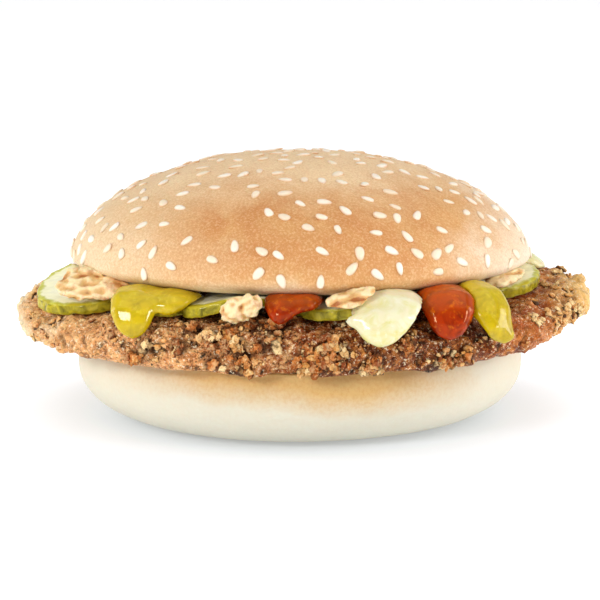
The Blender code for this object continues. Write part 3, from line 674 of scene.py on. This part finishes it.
def crumbCrust():
    style = pattyStyle
    pale = paint(*style["crumbPale"])
    r = Recipe("crumb crust", Roughness=0.45, Specular_IOR_Level=0.35,
               Specular_Tint=(1, 0.85, 0.65, 1), Subsurface_Weight=0.06, Subsurface_Scale=0.001)
    color = r.ramp(r.value("tone"), (0.0, paint(*style["crumbDark"])),
                   (0.35, paint(*style["crumbOrange"])), (0.62, paint(*style["crumbGold"])), (1.0, pale))
    color = r.blend(0.15, color, alongCoat(r))
    color = r.blend(r.spread(r.grain(0.8 * mm, 3, 0.7), 0.52, 0.7, (0, 0.6)), color, pale)
    pits = r.spread(r.grain(1.1 * mm, 3, 0.7, 1.0), 0.46, 0.32, (0, 0.85))
    color = r.blend(pits, color, paint(*style["crumbPit"]))
    # painted shade darkens the foot of every crumb, where it meets the coat, and the top is pale
    foot = r.spread(r.value("rise"), 0.66, 0.1, (0, 0.94))
    color = r.blend(foot, color, paint(*style["crumbFoot"]))
    color = r.blend(r.spread(r.value("rise"), 0.7, 1, (0, 0.35)), color, pale)
    normal = r.bump(r.grain(0.45 * mm, 3, 0.7), 0.7, 0.0004)
    return r.finish(color, r.spread(r.grain(1.1 * mm, 2), 0.35, 0.65, (0.3, 0.65)), normal)


def addCrumbs(patty):
    style = pattyStyle
    mesh = patty.data
    points, normals = readPoints(mesh), readNormals(mesh)
    others = [nodeTree(name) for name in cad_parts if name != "chicken_patty"]
    # how likely a crumb is at each point: most on the upright rim, fewer above and below it
    under = np.clip(1 + normals[:, 2] * 1.6, 0.05, 1)
    above = np.clip(1.2 - normals[:, 2], 0.3, 1)
    chance = np.where(normals[:, 2] < 0, under, above) * (coatShare(points) > 0.4)
    chance *= points[:, 2] > 22 * mm
    chance *= (points[:, 0] > -70 * mm) & (points[:, 0] < 72.5 * mm)
    gathered = chance * gathering(points)
    atEnds = chance * np.clip((np.abs(points[:, 0]) - 54 * mm) / (10 * mm), 0, 1)
    atEnds *= np.clip(0.5 + 2 * rough(points, 7 * mm, 2, 3.3), 0.1, 1)
    skin = BVHTree.FromObject(patty, bpy.context.evaluated_depsgraph_get())
    crust = crumbCrust()
    draw = random.Random(21)
    dark = KDTree(style["crumbs"]["clusters"]["count"] + style["crumbs"]["chunks"]["count"])
    for kind, spec in style["crumbs"].items():
        parts = spec.get("parts", 1)
        likely = gathered ** 1.6 if parts > 1 else gathered
        if spec.get("ends"):
            likely = atEnds
        picks = draw.choices(range(len(points)), weights=likely, k=spec["count"] * 3)
        places = []
        found = 0
        for pick in picks:
            if found == spec["count"]:
                break
            out = Vector(normals[pick])
            core = Vector(points[pick])
            largest = spec["size"][1] * mm
            probe = core + out * largest * 0.4
            if min(tree.find_nearest(probe)[3] for tree in others) < spec["thin"] * largest:
                continue
            if kind in ("clusters", "chunks"):
                dark.insert(core, found)
            found += 1
            least, most = spec.get("tones", (0.05, 1))
            tone = least + (most - least) * draw.random() ** 1.3
            for part in range(parts):
                # a cluster is several crumbs baked together, heaped about one place
                size = draw.uniform(*spec["size"]) * mm
                aside = Vector([draw.gauss(0, 1) for _ in range(3)])
                aside -= out * aside.dot(out)
                heap = largest * draw.uniform(0, spec.get("heap", 0.8))
                foot = core
                if parts > 1:
                    foot = skin.find_nearest(core + aside * largest * 0.45)[0]
                middle = foot + out * (size * spec["grow"] + (heap if parts > 1 else 0))
                full = largest * 1.3 if parts > 1 else size * spec["squash"] * 0.5
                full = spec["full"] * mm if "full" in spec else full
                near = min(1, max(0, tone + draw.gauss(0, 0.14)))
                places.append((middle, out, size, foot, full, near))
        shapes = lumps(9, 31 + spec["level"], spec["level"], spec["uneven"], spec["squash"])
        crumbs = scatterMesh(kind + "CrumbsMesh", shapes, places, 61, style["crumbLean"])
        piece = addPiece(kind + "Crumbs", crumbs, crust, ["chicken_patty"])
        piece.data.shade_flat()
        print(kind, "crumbs:", len(places), "pieces,", len(crumbs.polygons), "faces")
    # painted shade: the coat is darkened in the gaps between the heaps
    dark.balance()
    away = np.array([dark.find(p)[2] for p in points])
    writeValue(mesh, "shade", np.clip((3 * mm - away) / (1.5 * mm), 0, 1))


# Gherkin slices

gherkinStyle = dict(
    voxel=0.45 * mm,
    relief=0.12 * mm, reliefSize=3.2 * mm,
    ribs=23, ribRise=0.1 * mm,     # low ribs about the skin
    sink=0.22 * mm,                # how far the middle of each face has sunk
    skin=(108, 100, 6), skinLight=(190, 174, 42), rimBand=(204, 204, 92),
    flesh=(255, 253, 212), core=(255, 255, 232), seed=(244, 238, 172),
)
gherkins = ["pickle_left", "pickle_front_left", "pickle_front", "pickle_middle", "pickle_right",
            "pickle_back_right", "pickle_back", "pickle_back_left"]


def makeGherkins():
    style = gherkinStyle
    flesh = gherkinFlesh()
    for node in gherkins:
        mesh = remeshedCopy(node, style["voxel"], 5)
        points, normals = readPoints(mesh), readNormals(mesh)
        low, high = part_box(node)
        middle = np.array((low + high) / 2)
        half = np.array((high - low) / 2)
        across = (points - middle)[:, :2] / half[:2]
        reach = np.linalg.norm(across, axis=1)
        angle = np.arctan2(across[:, 1], across[:, 0])
        wall = np.clip(1.3 - np.abs(normals[:, 2]) * 1.6, 0, 1) * (reach > 0.7)
        relief = rough(points, style["reliefSize"], 2, 4.2) * style["relief"]
        ribs = style["ribRise"] * np.sin(angle * style["ribs"] + 2 * np.sin(angle * 5)) * wall
        sink = -style["sink"] * np.clip(0.75 - reach, 0, 0.4) / 0.4 * (1 - wall)
        points += normals * (relief + ribs + sink)[:, None]
        writePoints(mesh, points)
        writeValue(mesh, "reach", reach)
        writeValue(mesh, "wall", wall)
        writeValue(mesh, "lobes", 0.5 + 0.5 * np.cos(3 * angle + middle[0] * 90))
        addPiece(pieceName("gherkin", node), mesh, flesh, [node])


def gherkinFlesh():
    style = gherkinStyle
    r = Recipe("wet gherkin", Roughness=0.14, Specular_IOR_Level=0.3,
               Specular_Tint=(1, 1, 0.7, 1), Subsurface_Weight=0.1, Subsurface_Scale=0.002)
    r.shader.inputs["Subsurface Radius"].default_value = (1.0, 1.0, 0.6)
    reach, wall = r.value("reach"), r.value("wall")
    wobble = r.spread(r.grain(4 * mm, 3, 0.6), 0.3, 0.7, (-0.07, 0.07))
    far = r.plus(reach, wobble)
    color = r.ramp(far, (0.5, paint(*style["core"])), (0.87, paint(*style["flesh"])),
                   (0.95, paint(*style["rimBand"])), (1.0, paint(*style["skinLight"])))
    seeds = r.cells(2.1 * mm)
    core = r.times(r.spread(reach, 0.62, 0.4), r.spread(r.value("lobes"), 0.1, 0.5))
    seeded = r.times(core, r.spread(seeds, 0.42, 0.2, (0, 0.7)))
    color = r.blend(seeded, color, paint(*style["seed"]))
    # the skin is patched light and dark, partly real mottling and partly painted reflection of the lamps
    # on the wet skin
    stripe = r.grain(2.6 * mm, 3, 0.6, 0.6)
    skin = r.blend(r.spread(stripe, 0.35, 0.62), paint(*style["skin"]), paint(*style["skinLight"]))
    color = r.blend(r.spread(wall, 0.4, 0.8), color, skin)
    normal = r.bump(r.grain(1.1 * mm, 3, 0.6), 0.25, 0.0003)
    return r.finish(color, None, normal)


# Sauces

sauceStyle = dict(
    voxel=0.45 * mm, repeats=16,
    swell=0.18 * mm, swellSize=6 * mm,
    plump=0.12 * mm,               # what the smoothing took off, put back
    mustard=dict(main=(204, 176, 6), deep=(168, 142, 0), pale=(230, 206, 60),
                 sheen=(1, 1, 0.85, 1), rough=0.1, glow=0.1),
    ketchup=dict(main=(168, 44, 0), deep=(100, 12, 0), pale=(236, 122, 4),
                 sheen=(1, 0.68, 0.36, 1), rough=0.12, glow=0.04),
    mayonnaise=dict(main=(230, 224, 188), deep=(218, 210, 130), pale=(240, 236, 214),
                    sheen=(1, 1, 1, 1), rough=0.16, glow=0.25),
)
sauces = ["mustard_left", "mustard_right", "mustard_back", "ketchup_middle", "ketchup_right",
          "ketchup_back", "mayonnaise_front", "mayonnaise_back"]


def makeSauces():
    style = sauceStyle
    looks = {kind: sauceLook(kind) for kind in ("mustard", "ketchup", "mayonnaise")}
    for node in sauces:
        kind = node.split("_")[0]
        mesh = remeshedCopy(node, style["voxel"], style["repeats"])
        points, normals = readPoints(mesh), readNormals(mesh)
        swell = rough(points, style["swellSize"], 2, 8.8) * style["swell"] + style["plump"]
        points += normals * swell[:, None]
        writePoints(mesh, points)
        low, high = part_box(node)
        writeValue(mesh, "fall", (points[:, 2] - low.z) / (high.z - low.z))
        addPiece(pieceName(kind, node), mesh, looks[kind], [node])


def sauceLook(kind):
    style = sauceStyle[kind]
    pale = paint(*style["pale"])
    r = Recipe(kind, Roughness=style["rough"], Specular_IOR_Level=0.45,
               Specular_Tint=style["sheen"], Subsurface_Weight=style["glow"], Subsurface_Scale=0.003)
    swirl = r.grain(5 * mm, 3, 0.55, 1.2)
    color = r.blend(r.spread(swirl, 0.38, 0.7), paint(*style["main"]), paint(*style["deep"]))
    color = r.blend(r.spread(r.value("fall"), 0.5, 1, (0, 0.3)), color, pale)
    color = r.blend(r.spread(r.grain(1.6 * mm, 3, 0.6), 0.55, 0.75, (0, 0.5)), color, pale)
    normal = r.bump(r.grain(2.4 * mm, 2, 0.5), 0.12, 0.0004)
    return r.finish(color, None, normal)


# Crisp onion

onionStyle = dict(
    voxel=0.4 * mm,
    fold=0.4, foldSize=3.2 * mm,           # folds, as a share of the thickness
    crimp=0.2 * mm, crimpSize=1.3 * mm,    # fine crimps
    brown=(172, 98, 32), gold=(222, 174, 106), pale=(246, 222, 172),
)
onions = ["onion_left", "onion_front", "onion_middle", "onion_right", "onion_back", "onion_back_left"]


def makeOnions():
    style = onionStyle
    crisp = crispOnion()
    for node in onions:
        mesh = remeshedCopy(node, style["voxel"], 3)
        points, normals = readPoints(mesh), readNormals(mesh)
        # the folds run along each piece, which is what its longest direction tells
        centred = points - points.mean(axis=0)
        along = np.linalg.svd(centred[::7], full_matrices=False)[2]
        turned = centred @ along.T
        long, _, thick = np.abs(turned).max(axis=0)
        stretch = 0.45 if long > 4 * thick else 1.1
        folds = 0.6 - 2 * np.abs(rough(turned * (stretch, 1, 1), style["foldSize"], 2, 6.1))
        crimps = rough(points, style["crimpSize"], 2, 2.9)
        points += normals * (folds * style["fold"] * thick + crimps * style["crimp"])[:, None]
        writePoints(mesh, points)
        writeValue(mesh, "rise", np.clip(0.45 + 0.6 * folds + 0.2 * crimps, 0, 1))
        addPiece(pieceName("onion", node), mesh, crisp, [node])


def crispOnion():
    style = onionStyle
    r = Recipe("crisp onion", Roughness=0.42, Subsurface_Weight=0.3, Subsurface_Scale=0.0015)
    brown = paint(*style["brown"])
    color = r.ramp(r.value("rise"), (0.04, brown), (0.32, paint(*style["gold"])),
                   (0.72, paint(*style["pale"])))
    color = r.blend(r.spread(r.grain(3.4 * mm, 3, 0.6), 0.54, 0.7, (0, 0.6)), color, brown)
    normal = r.bump(r.grain(0.7 * mm, 3, 0.7), 0.5, 0.0004)
    return r.finish(color, None, normal)


# Table, light and camera

setStyle = dict(
    lookAt=Vector((0, 0, 0.029)), distance=0.8, elevation=math.radians(10),
    lens=181.9, sensor=36,
    bowlRadius=2.2, bowlHeight=2.0,   # a white round sweep stands all about the table
    bowlWhite=(0.55, 0.55, 0.55), bowlGlow=0.68,
    # the floor under the food is painted a little cooler, to offset the warm light bounced onto it from
    # the food
    foodWhite=(0.52, 0.55, 0.59),      # a little cooler under the food
    dimFrom=46 * mm, dimTo=78 * mm, dimGlow=0.27,   # where the glow fades out under the food
    world=0.22,
    # the middle of each light, its width and height in metres, and its power in watts
    lights=dict(
        topBox=((0.05, -0.1, 1.0), (1.5, 1.3), 4.1),
        leftWindow=((-0.5, -0.62, 0.36), (0.26, 0.18), 3.0),
        rightWindow=((0.78, -0.44, 0.28), (0.16, 0.22), 1.9),
        leftRim=((-0.9, 0.2, 0.3), (0.4, 0.5), 1.8),
        rightRim=((0.9, 0.05, 0.32), (0.4, 0.5), 3.1),
    ),
)


def makeFloor():
    style = setStyle
    radius, height = style["bowlRadius"], style["bowlHeight"]
    # flat to 0.6 of the radius, then curving up to half the height, then upright
    rings = []
    for k in range(1, 12):
        rings.append((radius * 0.6 * k / 11, 0))
    for k in range(1, 17):
        a = math.pi / 2 * k / 16
        rings.append((radius * (0.6 + 0.4 * math.sin(a)), height * 0.5 * (1 - math.cos(a))))
    rings.append((radius, height))
    around = 96
    bm = bmesh.new()
    loops = []
    for r, z in rings:
        loops.append([bm.verts.new((r * math.cos(a), r * math.sin(a), z - 0.02 * mm)) for a in
                      (2 * math.pi * i / around for i in range(around))])
    bm.faces.new(loops[0])
    for near, far in zip(loops, loops[1:]):
        for i in range(around):
            j = (i + 1) % around
            bm.faces.new((near[i], far[i], far[j], near[j]))
    mesh = bpy.data.meshes.new("tableMesh")
    bm.to_mesh(mesh)
    bm.free()
    mesh.shade_smooth()
    floor = bpy.data.objects.new("table", mesh)
    bpy.context.scene.collection.objects.link(floor)
    r = Recipe("white table", Roughness=0.6, Emission_Color=(1, 1, 1, 1))
    away = r.node("VectorMath", {0: r.place}, operation="LENGTH").outputs["Value"]
    glow = r.spread(away, style["dimFrom"], style["dimTo"], (style["dimGlow"], style["bowlGlow"]))
    glow = r.times(glow, r.spread(r.axis("Z"), 0.3, 0.6, (1, 0.15)))
    r.tree.links.new(glow, r.shader.inputs["Emission Strength"])
    white = style["bowlWhite"]
    color = r.blend(r.grain(0.3, 2), (*white, 1), (*[c * 1.02 for c in white], 1))
    # painted: a cooler white under the food offsets the warm light the food throws on the floor
    color = r.blend(r.spread(away, 0.14, 0.06), color, (*style["foodWhite"], 1))
    mesh.materials.append(r.finish(color))


def addLight(name, place, size, power):
    data = bpy.data.lights.new(name, "AREA")
    data.shape = "RECTANGLE"
    data.size, data.size_y = size
    data.energy = power
    light = bpy.data.objects.new(name, data)
    light.location = place
    toFood = Vector((0, 0, 0.035)) - Vector(place)
    light.rotation_euler = toFood.to_track_quat("-Z", "Y").to_euler()
    bpy.context.scene.collection.objects.link(light)


def makeLights():
    world = bpy.data.worlds.new("white room")
    world.use_nodes = True
    ground = world.node_tree.nodes["Background"]
    ground.inputs["Color"].default_value = (1, 1, 1, 1)
    ground.inputs["Strength"].default_value = setStyle["world"]
    bpy.context.scene.world = world
    for name, (place, size, power) in setStyle["lights"].items():
        addLight(name, place, size, power)


def makeCamera():
    style = setStyle
    data = bpy.data.cameras.new("camera")
    data.sensor_width = style["sensor"]
    data.lens = style["lens"]
    data.clip_start = 0.01
    camera = bpy.data.objects.new("camera", data)
    away = Vector((0, -math.cos(style["elevation"]), math.sin(style["elevation"])))
    camera.location = style["lookAt"] + away * style["distance"]
    camera.rotation_euler = (-away).to_track_quat("-Z", "Y").to_euler()
    bpy.context.scene.collection.objects.link(camera)
    bpy.context.scene.camera = camera


makeCamera()
makeFloor()
makeLights()
bpy.context.scene.view_settings.view_transform = "Standard"
print("table, light and camera ready")
makeHeel()
print("lower bun ready")
makeGherkins()
print("gherkin slices ready:", len(gherkins))
makeOnions()
print("crisp onion ready:", len(onions))
makeSauces()
print("sauces ready:", len(sauces))
makePatty()
print("breaded cutlet ready")
makeCrown()
print("upper bun and seeds ready")
